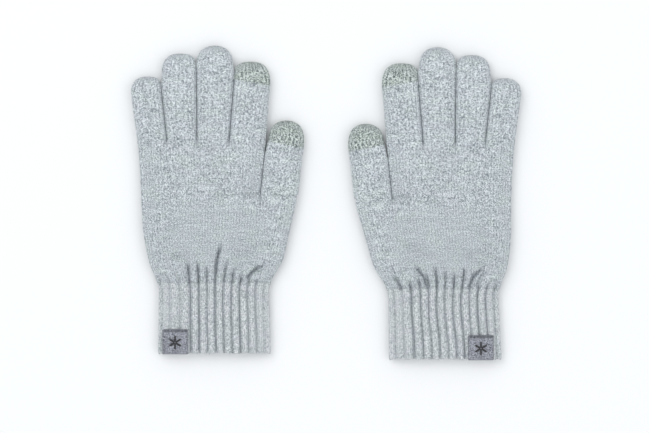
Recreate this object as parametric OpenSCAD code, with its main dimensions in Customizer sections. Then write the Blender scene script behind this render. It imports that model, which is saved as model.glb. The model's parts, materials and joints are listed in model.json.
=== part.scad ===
// Pair of knitted touchscreen gloves lying flat, side by side.
// Millimetres. +Z up from the surface they lie on, +Y from the cuffs to the
// fingertips, X across the pair. Origin: bottom centre of the pair's box.
// Each glove is knitted as tubes: a ribbed cuff, a wide lower palm that takes
// in the thumb, an upper palm, four fingers and a thumb. The index finger and
// the thumb end in caps of conductive yarn.

/* [Pair] */
// Distance between the two wrist centres
pair_pitch = 169.4; // [150:0.2:190]
// How much lower the right glove lies than the left one
right_drop = 4.4; // [0:0.2:10]
// Sideways lean of the left glove's hand over its cuff
left_lean = 0; // [-4:0.1:4]
// Sideways lean of the right glove's hand over its cuff
right_lean = 3.5; // [-4:0.1:5]
// Lengthwise stretch of the right glove against the left one
right_stretch = 1.03; // [0.97:0.005:1.04]

/* [Fabric] */
// Thickness of the empty glove as it lies
thick = 12.4; // [11:0.1:16]
// Extra fullness of the lower palm
belly = 1.6; // [0:0.1:4]
// Knitted wall
wall = 2; // [1.4:0.1:2.4]
// Gap between neighbouring moving tubes
gap = 0.7; // [0.6:0.05:1.2]

/* [Palm] */
// Width at the wrist
wrist_w = 82.8; // [74:0.2:90]
// Wrist to the finger roots
root_y = 106; // [98:0.5:114]
// Wrist to the thumb crotch
thumb_y = 65; // [58:0.5:72]
// Wrist centre to the little-finger edge at the knuckles
little_edge = 56.6; // [52:0.2:60]
// Wrist centre to the index-finger edge at the knuckles
index_edge = 38.6; // [37:0.2:42]
// Wrist centre to the palm's edge at the thumb crotch
crotch_edge = 33.8; // [32:0.2:36]
// Wrist centre to the thumb's outer edge at its root
thumb_edge = 62.2; // [58:0.2:66]

/* [Fingers] */
// Little finger, root to tip
little_len = 46.4; // [40:0.2:54]
// Ring finger, root to tip
ring_len = 63.5; // [56:0.2:70]
// Middle finger, root to tip
middle_len = 69.4; // [60:0.2:76]
// Index finger, root to tip
index_len = 57.5; // [50:0.2:66]
// Thumb, root to tip
thumb_len = 55; // [46:0.2:62]
// Root width of the little finger
little_root = 21.8; // [20:0.2:23]
// Root width of the ring finger
ring_root = 22.2; // [21:0.2:24]
// Root width of the middle finger
middle_root = 23.7; // [22:0.2:25]
// Sideways position of the little fingertip
little_tip_x = -50.8; // [-51.4:0.1:-50.4]
// Sideways position of the ring fingertip
ring_tip_x = -26.5; // [-27:0.1:-26]
// Sideways position of the middle fingertip
middle_tip_x = 1.1; // [0.6:0.1:1.6]
// Sideways position of the index fingertip
index_tip_x = 28.9; // [28.4:0.1:30]
// Sideways position of the thumb tip
thumb_tip_x = 53.7; // [53.4:0.1:56]
// Width near the little fingertip
little_w = 22.2; // [20:0.1:22.4]
// Width near the ring fingertip
ring_w = 25; // [22:0.1:25.4]
// Width near the middle fingertip
middle_w = 26.8; // [24:0.1:27]
// Width near the index fingertip
index_w = 26.3; // [24:0.1:26.6]
// Width near the thumb tip
thumb_w = 26.4; // [24:0.1:26.6]

/* [Touch tips] */
// Height of the conductive cap on the index finger
index_cap = 15.5; // [12:0.5:22]
// Height of the conductive cap on the thumb
thumb_cap = 18; // [14:0.5:24]

/* [Cuff] */
// Length of the ribbed cuff
cuff_len = 52.2; // [40:0.2:70]
// Width at the hem
hem_w = 85.2; // [78:0.2:88]
// How far the left cuff's hem lies towards the thumb side
left_hem_shift = 0.3; // [-3:0.1:3]
// How far the right cuff's hem lies towards the thumb side
right_hem_shift = -1.8; // [-3:0.1:3]
// Ribs across one face
ribs = 13; // [9:1:16]
// Depth of the furrows between the ribs
rib_depth = 0.9; // [0.3:0.05:1]
// Height of the cast-off hem edge
welt_h = 2.4; // [1.6:0.1:4]

/* [Label] */
// Width of the folded label
label_w = 18.8; // [14:0.2:24]
// Height of the label on the outside of the cuff
label_h = 18.2; // [12:0.2:24]
// Thickness of the label
label_t = 0.8; // [0.6:0.05:1]
// Distance of the left label's outer edge from the side of the hem
left_label_inset = 4.2; // [3:0.1:12]
// Distance of the right label's outer edge from the side of the hem
right_label_inset = 7; // [3:0.1:12]

/* [Motion] */
// Bend of the cuff either way that the wrist join leaves room for
wrist_bend = 45; // [20:1:50]
// Backward bend of the fingers that their roots leave room for
back_bend = 15; // [5:1:20]

/* [Hidden] */

// Wrist line of the left glove below the middle of the pair
wrist_y = -60.8;
// Centre of the pair's box, so that it lands on the origin
mid_x = -1.75;
mid_y = -1.8096;

grey = [0.74, 0.77, 0.78];
rib_grey = [0.70, 0.73, 0.74];
tip_grey = [0.66, 0.71, 0.70];
label_grey = [0.42, 0.43, 0.46];
dark = [0.16, 0.17, 0.18];

// Outline helpers: fullness of the side edges from the wrist up, 0 to 1
little_rise = [[0, 0], [0.035, 0.10], [0.12, 0.40], [0.245, 0.6],
  [0.37, 0.74], [0.58, 0.83], [0.79, 0.88], [1, 1]];
thumb_rise = [[0, 0], [0.057, 0.07], [0.125, 0.22], [0.19, 0.36],
  [0.26, 0.49], [0.4, 0.57], [0.6, 0.71], [0.8, 0.86], [1, 1]];

// Height over which a hand leans away from its cuff
lean_rise = 70;
// Roundness of the tubes' sides: 2 is an ellipse, more is squarer
side_power = 2.8;
// How early the underside turns flat against the surface below
flat_under = 1.07;
// Depth left at the webs between two fingers, against the full thickness
web = 0.78;
// Height of a fingertip's dome against the finger's width, and its roundness
dome_ratio = 0.56;
dome_power = 2.35;
// Steps up the dome, and the thickness left at its top
dome_steps = [0, 0.3, 0.55, 0.75, 0.9, 0.985];
dome_thin = 0.38;
// Points across one face of a palm and of a finger
palm_points = 22;
digit_points = 10;
// Gap between the two halves of the wrist's wedge where they meet
wedge_gap = 0.4;
// Gap under the label, all round the hem
label_gap = 0.15;
// Height inside the cuff that the folded label reaches, against its outside
label_inside = 0.5;

function smooth(a) = let (c = min(1, max(0, a))) c * c * (3 - 2 * c);
function shift(y, lean) = lean * smooth(y / lean_rise);
function little_side(y) = -(wrist_w / 2
  + (little_edge - wrist_w / 2) * lookup(y / root_y, little_rise));
function thumb_side(y) = wrist_w / 2
  + (thumb_edge - wrist_w / 2) * lookup(y / thumb_y, thumb_rise);
function index_side(y) = crotch_edge
  + (index_edge - crotch_edge) * (y - thumb_y) / (root_y - thumb_y);
function fullness(y) = thick + belly * sin(180 * min(1, max(0, y / thumb_y)));

// Finger roots: edges between neighbouring fingers, from the little finger on
root_x = [-little_edge, -little_edge + little_root,
  -little_edge + little_root + ring_root,
  -little_edge + little_root + ring_root + middle_root, index_edge];
lens = [little_len, ring_len, middle_len, index_len];
tips = [little_tip_x, ring_tip_x, middle_tip_x, index_tip_x];
tip_ws = [little_w, ring_w, middle_w, index_w];

// Flattened oval: 1 in the middle, 0 at the edges
function oval(q) = round_off(min(1, abs(q)), side_power);
function round_off(q, power) = pow(max(0, 1 - pow(q, power)), 1 / power);
function lobe(x, a, b) = oval((x - (a + b) / 2) / ((b - a) / 2));
function lobes(x, cuts) = max([for (i = [0 : len(cuts) - 2])
  lobe(x, cuts[i], cuts[i + 1])]);

// One ring of a flat tube from edge a to edge b, thickness t, 2k points.
// f pinches it towards the lobes between the cuts. Beyond x = over, it slopes
// back from the top face by the slope back. z0 lifts it.
function ring(a, b, y, t, k, inset = 0, cuts = [], f = 0, back = 0, over = -1e3,
    z0 = 0) =
  let (xa = a + inset, xb = b - inset, ti = t - 2 * inset)
  [for (i = [0 : 2 * k - 1])
    let (top = i <= k, q = cos(180 * i / k), x = (xa + xb) / 2 + (xb - xa) / 2 * q,
      p0 = oval(q),
      p = f == 0 ? p0 : (1 - f) * p0 + f * max(web * p0, min(p0, lobes(x, cuts))),
      under = max(0, 1 - flat_under * p),
      z = z0 + inset + ti / 2 * (top ? 1 + p : under))
    [x, y - (x > over ? back * (t + z0 - z) : 0), z]];

// A wall closed into a sleeve: first ring joins the last
module sleeve(rings) {
  n = len(rings[0]);
  m = len(rings);
  polyhedron(
    points = [for (r = rings, p = r) p],
    faces = [for (j = [0 : m - 1], i = [0 : n - 1])
      let (u = (j + 1) % m, v = (i + 1) % n)
      [j * n + i, j * n + v, u * n + v, u * n + i]]);
}

// A wall closed at one end: first and last rings are capped, a bent end in convex pieces
module pocket(rings, pieces = undef) {
  n = len(rings[0]);
  m = len(rings);
  ends = is_undef(pieces) ? [[for (i = [0 : n - 1]) i]] : pieces;
  polyhedron(
    points = [for (r = rings, p = r) p],
    faces = concat(
      [for (j = [0 : m - 2], i = [0 : n - 1])
        let (v = (i + 1) % n)
        [j * n + i, j * n + v, (j + 1) * n + v, (j + 1) * n + i]],
      [for (e = ends) [for (i = [len(e) - 1 : -1 : 0]) e[i]]],
      [for (e = ends) [for (i = e) (m - 1) * n + i]]));
}

// Placing: the hand and the cuff of each glove about its wrist centre
module left_place() {
  translate([-pair_pitch / 2 - mid_x, wrist_y - mid_y, 0]) children();
}

module right_place() {
  translate([pair_pitch / 2 - mid_x, wrist_y - right_drop - mid_y, 0])
    mirror([1, 0, 0]) children();
}

// s is the lengthwise stretch, lean the sideways lean of the hand
module palm_lower(lean, s) {
  open = tan(wrist_bend / 2);
  ys = [0, 5, 9, 13, 19, 27, 40, 54, 61];
  cuts = [little_side(thumb_y), crotch_edge, thumb_edge];
  // the lower palm divides into palm and thumb over its last 35 mm
  row = function (y, w) let (e = shift(y, lean))
    ring(little_side(y) + e, thumb_side(y) + e, y * s, fullness(y), palm_points,
      inset = w, cuts = [for (c = cuts) c + e], f = smooth((y - 30) / 35));
  e = shift(thumb_y, lean);
  last = [for (w = [0, wall]) ring(cuts[0] + e, thumb_edge + e,
    thumb_y * s, thick, palm_points, inset = w, cuts = [for (c = cuts) c + e],
    f = 1, back = tan(back_bend), over = crotch_edge + e - 1)];
  // the wrist end opens to a V so that the cuff can bend both ways
  wedge = function (r) [for (p = r)
    [p.x, wedge_gap + open * abs(p.z - thick / 2), p.z]];
  sleeve(concat([wedge(row(0, wall))], [wedge(row(0, 0))],
    [for (i = [1 : len(ys) - 1]) row(ys[i], 0)], last,
    [for (i = [len(ys) - 1 : -1 : 1]) row(ys[i], wall)]));
}

module palm_upper(lean, s) {
  e = shift(thumb_y, lean);
  ys = [thumb_y - 0.3, 72, 82, 92, 100];
  cuts = [for (c = root_x) c + e];
  // it divides into the four fingers over its last 32 mm
  row = function (y, w) ring(little_side(y) + e, index_side(y) + e, y * s,
    thick, palm_points, inset = w, cuts = cuts, f = smooth((y - 74) / 32));
  end = function (w) ring(root_x[0] + e, root_x[4] + e,
    root_y * s - gap / 2, thick, palm_points, inset = w, cuts = cuts, f = 1,
    back = tan(back_bend));
  sleeve(concat([for (y = ys) row(y, 0)], [end(0), end(wall)],
    [for (i = [len(ys) - 1 : -1 : 0]) row(ys[i], wall)]));
}

// One ring of a flat finger at y past its root r. The edges run straight from
// the root's a and b to the width w2 about x2, where the dome begins; the
// dome takes the last part of the length l.
function digit_ring(a, b, r, x2, w2, l, y, inset = 0) =
  let (
    dome = w2 * dome_ratio, q = (y - (l - dome)) / (dome - inset),
    u = min(1, max(0, y / (l - dome))),
    xa = a * (1 - u) + (x2 - w2 / 2) * u, xb = b * (1 - u) + (x2 + w2 / 2) * u,
    cx = (xa + xb) / 2, hw = (xb - xa) / 2,
    c = q <= 0 ? 1 : round_off(min(q, dome_steps[5]), dome_power),
    h = dome_thin + (1 - dome_thin) * c,
    t = (thick - 2 * inset) * h)
  ring(cx - (hw - inset) * c, cx + (hw - inset) * c, r + y, t, digit_points,
    z0 = inset + (thick - 2 * inset - t) * 0.4);

function digit_ys(w2, l, inset) =
  let (dome = w2 * dome_ratio)
  concat([0, (l - dome) * 0.5], [for (q = dome_steps)
    l - dome + q * (dome - inset)]);

module digit(a, b, r, x2, w2, l) {
  lining = digit_ys(w2, l, wall);
  outside = digit_ys(w2, l, 0);
  n = len(outside);
  pocket(concat(
    [for (i = [n - 1 : -1 : 0])
      digit_ring(a, b, r + gap / 2, x2, w2, l, lining[i], inset = wall)],
    [for (i = [0 : n - 1])
      digit_ring(a, b, r + gap / 2, x2, w2, l, outside[i])]));
}

// The finger below a conductive cap of height cap
module digit_tube(a, b, r, x2, w2, l, cap) {
  ys = [0, (l - cap) * 0.35, (l - cap) * 0.7, l - cap];
  sleeve(concat(
    [for (i = [0 : 3]) digit_ring(a, b, r + gap / 2, x2, w2, l, ys[i])],
    [for (i = [3 : -1 : 0])
      digit_ring(a, b, r + gap / 2, x2, w2, l, ys[i], inset = wall)]));
}

// The conductive cap, overlapping the finger's last course
module digit_cap(a, b, r, x2, w2, l, cap) {
  dome = w2 * dome_ratio;
  y0 = l - cap - 0.3;
  row = function (inset) concat([y0], [for (q = dome_steps)
    if (l - dome + q * (dome - inset) > y0 + 0.8) l - dome + q * (dome - inset)]);
  outside = row(0);
  lining = row(wall);
  pocket(concat(
    [for (i = [len(lining) - 1 : -1 : 0])
      digit_ring(a, b, r + gap / 2, x2, w2, l, lining[i], inset = wall)],
    [for (i = [0 : len(outside) - 1])
      digit_ring(a, b, r + gap / 2, x2, w2, l, outside[i])]));
}

module finger(i, lean, s) {
  e = shift(root_y, lean);
  digit(root_x[i] + e + (i == 0 ? 0 : gap / 2), root_x[i + 1] + e - gap / 2,
    root_y * s, tips[i] + e, tip_ws[i] - gap, lens[i]);
}

module index_tube(lean, s) {
  e = shift(root_y, lean);
  digit_tube(root_x[3] + e + gap / 2, root_x[4] + e - gap / 2, root_y * s,
    tips[3] + e, tip_ws[3] - gap, lens[3], index_cap);
}

module index_tip(lean, s) {
  e = shift(root_y, lean);
  digit_cap(root_x[3] + e + gap / 2, root_x[4] + e - gap / 2, root_y * s,
    tips[3] + e, tip_ws[3] - gap, lens[3], index_cap);
}

module thumb_tube(lean, s) {
  e = shift(thumb_y, lean);
  digit_tube(crotch_edge + e + gap / 2, thumb_edge + e, thumb_y * s,
    thumb_tip_x + e, thumb_w - gap / 2, thumb_len, thumb_cap);
}

module thumb_tip(lean, s) {
  e = shift(thumb_y, lean);
  digit_cap(crotch_edge + e + gap / 2, thumb_edge + e, thumb_y * s,
    thumb_tip_x + e, thumb_w - gap / 2, thumb_len, thumb_cap);
}

// Half width of the cuff and the ribbed surface of its top face
function cuff_half(y) = wrist_w / 2 + (hem_w - wrist_w) / 2 * min(1, -y / cuff_len);
function cuff_top(x, y, inset = 0) = let (h = cuff_half(y) - inset)
  thick / 2 + (thick / 2 - inset) * oval(x / h);

// Two points on each rib and two in each furrow, which shallows at the sides
// and its centre moves sideways by lean from the wrist to the hem
function cuff_ring(lean, y, deep, inset = 0, wedge = false) =
  let (m = ribs * 4 + 2, h = cuff_half(y) - inset, open = tan(wrist_bend / 2))
  [for (top = [1, 0], i = [0 : m - 1])
    let (q = 1 - 2 * (i + 0.5) / m, x = (top == 1 ? q : -q) * h,
      p = oval(q), f = ((i + 1) % 4 < 2) ? deep * min(1, p * 1.4) : 0,
      half = (thick / 2 - inset) * p - f,
      z = thick / 2 + (top == 1 ? half : max(inset - thick / 2, -flat_under * half)))
    [x + lean * min(1, -y / cuff_len),
      wedge ? -wedge_gap - open * abs(z - thick / 2) : y, z]];

module cuff(lean) {
  ys = [-7, -(cuff_len - welt_h) * 0.5, -(cuff_len - welt_h) - 0.1];
  sleeve([cuff_ring(lean, 0, 0, wall, true), cuff_ring(lean, ys[2], 0, wall),
    cuff_ring(lean, ys[2], rib_depth), cuff_ring(lean, ys[1], rib_depth),
    cuff_ring(lean, ys[0], rib_depth),
    cuff_ring(lean, 0, rib_depth * 0.5, 0, true)]);
}

// Cast-off edge: the ribs run out into a rounded lip
module cuff_hem(lean) {
  y0 = -(cuff_len - welt_h);
  sleeve([cuff_ring(lean, y0, 0, wall),
    cuff_ring(lean, -cuff_len + 0.5, 0, wall),
    cuff_ring(lean, -cuff_len, 0, wall * 0.6),
    cuff_ring(lean, -cuff_len, rib_depth * 0.2, wall * 0.3),
    cuff_ring(lean, -cuff_len + 0.6, rib_depth * 0.5),
    cuff_ring(lean, y0, rib_depth)]);
}

// Folded over the hem: outside of the cuff, round the edge, and up inside
module label(inset) {
  k = 8;
  x0 = -hem_w / 2 + inset;
  t = label_t;
  yb = -cuff_len - label_gap;
  yt = yb + label_h;
  yi = yb + label_h * label_inside;
  pocket([for (i = [0 : k])
    let (x = x0 + label_w * i / k, zo = cuff_top(x, -cuff_len) + label_gap,
      zi = cuff_top(x, -cuff_len, wall) - label_gap)
    [[x, yt, zo], [x, yb, zo], [x, yb, zi], [x, yi, zi], [x, yi, zi - t],
      [x, yb - t, zi - t], [x, yb - t, zo + t], [x, yt, zo + t]]],
    [[0, 1, 6, 7], [1, 2, 5, 6], [2, 3, 4, 5]]);
}

function label_x(inset) = -hem_w / 2 + inset + label_w / 2;
label_y = -cuff_len - label_gap + label_h * 0.46;
function label_z(x) = cuff_top(x, -cuff_len) + label_gap + label_t;
function label_tilt(x) = atan((label_z(x + 2) - label_z(x - 2)) / 4);

// A plain six-armed star, a little sunk into the label
module label_emblem(inset) {
  arm = [10.4, 1.3, 0.7];
  x = label_x(inset);
  translate([x, label_y, label_z(x) + 0.05])
    rotate([0, -label_tilt(x), 0])
      union() {
        for (a = [30, 90, 150]) rotate([0, 0, a]) cube(arm, center = true);
      }
}

// A row of short stitches, just inside the label's top edge
module label_stitches(inset) {
  n = 7;
  stitch = [1.7, 0.5, 0.5];
  for (i = [0 : n - 1])
    let (x = label_x(inset) + (i - (n - 1) / 2) * label_w / (n + 0.6))
    translate([x, label_y + label_h * 0.47, label_z(x)])
      rotate([0, -label_tilt(x), 0]) cube(stitch, center = true);
}

// Short hand stitches across the join beside the thumb crotch and one at
// each finger crotch
module join_stitches(lean, s) {
  e = shift(thumb_y, lean);
  xc = (little_side(thumb_y) + crotch_edge) / 2;
  hw = (crotch_edge - little_side(thumb_y)) / 2;
  first = 3.4;
  spacing = 2.6;
  for (i = [0 : 4])
    let (x = crotch_edge - first - i * spacing,
      z = thick / 2 * (1 + oval((x - xc) / hw)))
    translate([x + e, thumb_y * s + 0.6, z - 0.1])
      cube([0.8, 2.4, 0.6], center = true);
  for (i = [1 : 3])
    let (q = (root_x[i] - (root_x[0] + root_x[4]) / 2)
        / ((root_x[4] - root_x[0]) / 2),
      z = thick / 2 * (1 + web * oval(q)))
    translate([root_x[i] + e, root_y * s - 3.4, z + 0.05])
      cube([0.8, 2.6, 0.8], center = true);
}

module left_palm_lower() { color(grey) left_place() palm_lower(left_lean, 1); }
module left_palm_upper() { color(grey) left_place() palm_upper(left_lean, 1); }
module left_join_stitches() {
  color(rib_grey) left_place() join_stitches(left_lean, 1);
}
module left_index_finger() { color(grey) left_place() index_tube(left_lean, 1); }
module left_index_touch_tip() {
  color(tip_grey) left_place() index_tip(left_lean, 1);
}
module left_middle_finger() { color(grey) left_place() finger(2, left_lean, 1); }
module left_ring_finger() { color(grey) left_place() finger(1, left_lean, 1); }
module left_little_finger() { color(grey) left_place() finger(0, left_lean, 1); }
module left_thumb() { color(grey) left_place() thumb_tube(left_lean, 1); }
module left_thumb_touch_tip() {
  color(tip_grey) left_place() thumb_tip(left_lean, 1);
}
module left_cuff() { color(rib_grey) left_place() cuff(left_hem_shift); }
module left_cuff_hem() {
  color(rib_grey) left_place() cuff_hem(left_hem_shift);
}
module left_on_hem() {
  left_place() translate([left_hem_shift, 0, 0]) children();
}

module left_label() { color(label_grey) left_on_hem() label(left_label_inset); }
module left_label_emblem() {
  color(dark) left_on_hem() label_emblem(left_label_inset);
}
module left_label_stitches() {
  color(dark) left_on_hem() label_stitches(left_label_inset);
}

module right_palm_lower() {
  color(grey) right_place() palm_lower(right_lean, right_stretch);
}
module right_palm_upper() {
  color(grey) right_place() palm_upper(right_lean, right_stretch);
}
module right_join_stitches() {
  color(rib_grey) right_place() join_stitches(right_lean, right_stretch);
}
module right_index_finger() {
  color(grey) right_place() index_tube(right_lean, right_stretch);
}
module right_index_touch_tip() {
  color(tip_grey) right_place() index_tip(right_lean, right_stretch);
}
module right_middle_finger() {
  color(grey) right_place() finger(2, right_lean, right_stretch);
}
module right_ring_finger() {
  color(grey) right_place() finger(1, right_lean, right_stretch);
}
module right_little_finger() {
  color(grey) right_place() finger(0, right_lean, right_stretch);
}
module right_thumb() {
  color(grey) right_place() thumb_tube(right_lean, right_stretch);
}
module right_thumb_touch_tip() {
  color(tip_grey) right_place() thumb_tip(right_lean, right_stretch);
}
module right_cuff() { color(rib_grey) right_place() cuff(right_hem_shift); }
module right_cuff_hem() {
  color(rib_grey) right_place() cuff_hem(right_hem_shift);
}
module right_on_hem() {
  right_place() translate([right_hem_shift, 0, 0]) children();
}

module right_label() { color(label_grey) right_on_hem() label(right_label_inset); }
module right_label_emblem() {
  color(dark) right_on_hem() label_emblem(right_label_inset);
}
module right_label_stitches() {
  color(dark) right_on_hem() label_stitches(right_label_inset);
}

left_palm_lower();
left_palm_upper();
left_join_stitches();
left_index_finger();
left_index_touch_tip();
left_middle_finger();
left_ring_finger();
left_little_finger();
left_thumb();
left_thumb_touch_tip();
left_cuff();
left_cuff_hem();
left_label();
left_label_emblem();
left_label_stitches();
right_palm_lower();
right_palm_upper();
right_join_stitches();
right_index_finger();
right_index_touch_tip();
right_middle_finger();
right_ring_finger();
right_little_finger();
right_thumb();
right_thumb_touch_tip();
right_cuff();
right_cuff_hem();
right_label();
right_label_emblem();
right_label_stitches();
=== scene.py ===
"""A pair of knitted touchscreen gloves, lying flat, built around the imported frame.

Every glove is worked out in its own local millimetres: the wrist centre is the
origin, +Y runs to the fingertips and +X to the thumb. The right glove mirrors X.
Knitted pieces are grids whose columns follow the wales (stitch columns) and
whose rows follow the courses, so the stitches are real relief.
"""

import json
import math

import bpy
import numpy as np
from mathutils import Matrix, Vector


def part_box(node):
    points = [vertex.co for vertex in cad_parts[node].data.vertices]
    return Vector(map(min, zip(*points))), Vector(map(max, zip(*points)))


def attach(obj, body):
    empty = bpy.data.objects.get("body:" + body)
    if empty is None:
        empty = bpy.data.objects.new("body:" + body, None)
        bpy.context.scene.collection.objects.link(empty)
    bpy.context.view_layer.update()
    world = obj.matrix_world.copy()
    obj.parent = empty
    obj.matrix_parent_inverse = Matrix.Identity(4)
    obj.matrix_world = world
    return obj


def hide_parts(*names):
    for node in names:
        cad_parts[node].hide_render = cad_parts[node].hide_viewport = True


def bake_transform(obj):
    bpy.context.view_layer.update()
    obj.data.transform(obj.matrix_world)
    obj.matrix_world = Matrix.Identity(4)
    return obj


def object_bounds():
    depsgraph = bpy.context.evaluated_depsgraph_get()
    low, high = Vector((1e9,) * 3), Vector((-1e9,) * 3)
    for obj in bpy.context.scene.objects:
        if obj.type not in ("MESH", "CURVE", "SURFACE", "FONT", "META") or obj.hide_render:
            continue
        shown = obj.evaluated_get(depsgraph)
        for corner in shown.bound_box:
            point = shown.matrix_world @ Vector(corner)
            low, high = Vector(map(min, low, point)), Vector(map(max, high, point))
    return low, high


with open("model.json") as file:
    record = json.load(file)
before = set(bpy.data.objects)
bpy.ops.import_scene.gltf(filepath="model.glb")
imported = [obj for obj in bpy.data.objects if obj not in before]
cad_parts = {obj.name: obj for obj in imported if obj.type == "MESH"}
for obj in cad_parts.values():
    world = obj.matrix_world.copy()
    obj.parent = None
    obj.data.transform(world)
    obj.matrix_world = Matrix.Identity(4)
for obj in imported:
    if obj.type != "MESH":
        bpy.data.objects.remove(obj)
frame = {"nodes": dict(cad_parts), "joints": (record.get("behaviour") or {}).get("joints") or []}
CAD_BOX = [list(corner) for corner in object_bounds()]
MM = 0.001

# Knit, in mm where it's a length
COURSE = 1.45               # height of one course
ROWS_PER_COURSE = 3
COLS_PER_WALE = 4
PALM_WALES = 54             # across one face of the lower palm and of the cuff
UPPER_WALES = 42            # of those, the ones that go on above the thumb
FINGER_CUTS = (0, 10, 20, 31, 42)   # wales where one finger ends and the next begins
LOFT = 0.84                 # thickness of the cloth tube against the CAD's
FABRIC = 1.3                # thickness of the knit
CUFF_FABRIC = 3.3           # thickness of the ribbed knit, more than the deepest furrow
V_RISE = 0.7                # how far a stitch's legs rise, in courses
WALE_RELIEF = 0.12          # how far a wale stands out
COURSE_RELIEF = 0.08        # how far a course stands out
PAD = 3                     # rows worked past each end, so that stitches run on
TOUCH = 0.1                 # half the gap between two fingers that touch
LINING_EVERY = 6            # rows of the outside for each row of the lining
# Cuff
RIB_PITCH = 6.15
RIB_DEPTH = 2.4
FURROW = 0.20               # half width of a furrow's shadow, in ribs
SWAY_LENGTH = 62            # how far apart along the cuff two like bends of a rib are
SWAY_TOP = 14               # how far below the wrist a rib bends furthest
THUMB_TOUCHES = 28          # length of the thumb that lies against the palm
CAP_SLANTS = {"index": -2.2, "thumb": -2.6}   # rise of a cap's border at its +X side
# Cross-section of a flat tube
SIDE_POWER = 2.8            # 2 would be an ellipse, and more is boxier
UNDER_FLAT = 1.07           # above 1, so that the underside lies flat on the floor
# Fingertips
DOME = 0.56                 # height of a fingertip's dome against its width
DOME_POWER = 2.35
LEANING_POWER = 3.4         # the side of a dome that leans on a longer finger
# Label
PATCH = 0.8                 # thickness of the patch
PATCH_CORNER = 0.9          # width of its rounded edge
PATCH_INSIDE = 8            # how far it goes up inside the cuff
# Threads' half thickness
STAR_THREAD = 0.3
ROW_THREAD = 0.24
JOIN_YARN = 0.38

STEP = COURSE / ROWS_PER_COURSE

# How each cuff's ribs lie: a furrow's place, how far they sway, where they are
# plump (mm across), and where they are drawn wider (from, over, by how much)
RIBS = {
    "left": {"start": 0.9, "sway": 0.25, "plump": (-30, 37), "wide": (-14, -20, 0.6)},
    "right": {"start": -1.6, "sway": -0.8, "plump": (-43, 35), "wide": (17, 15, -0.3)},
}
# Creases: a path in the glove's own mm, its depth and its half width
FOLDS = {
    "left": [([(0.9, 3), (1.8, 14.5), (3.1, 21), (5.1, 28.4), (6.6, 33)], 2.7, 1.3),
             ([(24.2, 1), (24.9, 3.9), (28.2, 7.9), (32.8, 11.2), (38, 13)], 2.5, 1.4),
             ([(-20, 1.5), (-12, 0.2), (-3, 1.6)], 0.5, 1.2),
             ([(-33, 22), (-20, 18), (-8, 20)], 0.45, 4.0),
             ([(10, 20), (24, 24), (40, 30)], 0.4, 4.5)],
    "right": [([(-18, -2), (-19, 1.4), (-22.3, 8.6), (-29, 15.2), (-33, 18)], 2.3, 1.3),
              ([(-24, 0), (-27.7, 9.3), (-33.7, 15.2)], 1.3, 1.2),
              ([(11.5, -1), (13.9, 7.9), (18.6, 14.6), (22.5, 19)], 2.3, 1.3),
              ([(30.6, -3), (31.1, 0.7), (33.8, 5.9), (39, 10)], 1.9, 1.5),
              ([(-36, 30), (-22, 25), (-6, 27)], 0.45, 4.0),
              ([(4, 24), (20, 28), (34, 36)], 0.4, 4.5)],
}


# ---- small maths
def smooth(a):
    """0 below 0, 1 above 1, and an S curve between."""
    a = np.clip(a, 0.0, 1.0)
    return a * a * (3 - 2 * a)


def oval(q, power=SIDE_POWER):
    """Height of a flattened oval at q from its middle, 1 to 0."""
    return np.power(np.maximum(0.0, 1 - np.abs(np.clip(q, -1, 1)) ** power), 1 / power)


def wave(a, b, seed):
    """A slow wandering value of two variables, about -1 to 1."""
    return (np.sin(a + b * 0.37 + seed) + np.sin(a * 0.43 - b * 0.81 + seed * 2.3)
            + np.sin(a * 1.7 + b * 1.13 + seed * 0.7)) / 3


def blur(values, sigma):
    """Values smoothed along their length, ends held."""
    reach = int(3 * sigma) + 1
    kernel = np.exp(-0.5 * (np.arange(-reach, reach + 1) / sigma) ** 2)
    kernel /= kernel.sum()
    padded = np.concatenate([2 * values[0] - values[reach:0:-1], values,
                             2 * values[-1] - values[-2:-reach - 2:-1]])
    return np.convolve(padded, kernel, mode="valid")


# ---- outlines of the frame
class Outline:
    """Left edge, right edge and top of CAD nodes against local y."""

    def __init__(self, glove, names, first, last, step=1.0, sigma=0.0):
        segments = []
        for name in names:
            mesh = frame["nodes"][name].data
            points = np.empty(len(mesh.vertices) * 3)
            mesh.vertices.foreach_get("co", points)
            ends = np.empty(len(mesh.edges) * 2, dtype=int)
            mesh.edges.foreach_get("vertices", ends)
            segments.append((points.reshape(-1, 3) / MM)[ends.reshape(-1, 2)])
        segments = np.concatenate(segments)
        x = (segments[:, :, 0] - glove.x) * glove.hand
        y = segments[:, :, 1] - glove.y
        z = segments[:, :, 2]
        self.y = np.linspace(first, last, max(2, round((last - first) / step) + 1))
        rows = []
        for at in self.y:
            hit = ((y[:, 0] - at) * (y[:, 1] - at) <= 0) & (abs(y[:, 1] - y[:, 0]) > 1e-6)
            f = (at - y[hit, 0]) / (y[hit, 1] - y[hit, 0])
            xs = x[hit, 0] + f * (x[hit, 1] - x[hit, 0])
            zs = z[hit, 0] + f * (z[hit, 1] - z[hit, 0])
            rows.append((xs.min(), xs.max(), zs.max()))
        self.left, self.right, self.top = (np.array(v) for v in zip(*rows))
        if sigma:
            self.left, self.right = blur(self.left, sigma), blur(self.right, sigma)
            self.top = blur(self.top, sigma)

    def at(self, y):
        """Left, right and top at y."""
        return (np.interp(y, self.y, self.left), np.interp(y, self.y, self.right),
                np.interp(y, self.y, self.top))

    @staticmethod
    def joined(parts, sigma):
        """One smoothed outline along several, with the gaps between them bridged."""
        whole = Outline.__new__(Outline)
        y = np.concatenate([p.y for p in parts])
        whole.y = np.arange(y[0], y[-1], 1.0)
        whole.left, whole.right, whole.top = (
            blur(np.interp(whole.y, y, np.concatenate([getattr(p, k) for p in parts])), sigma)
            for k in ("left", "right", "top"))
        return whole


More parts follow.
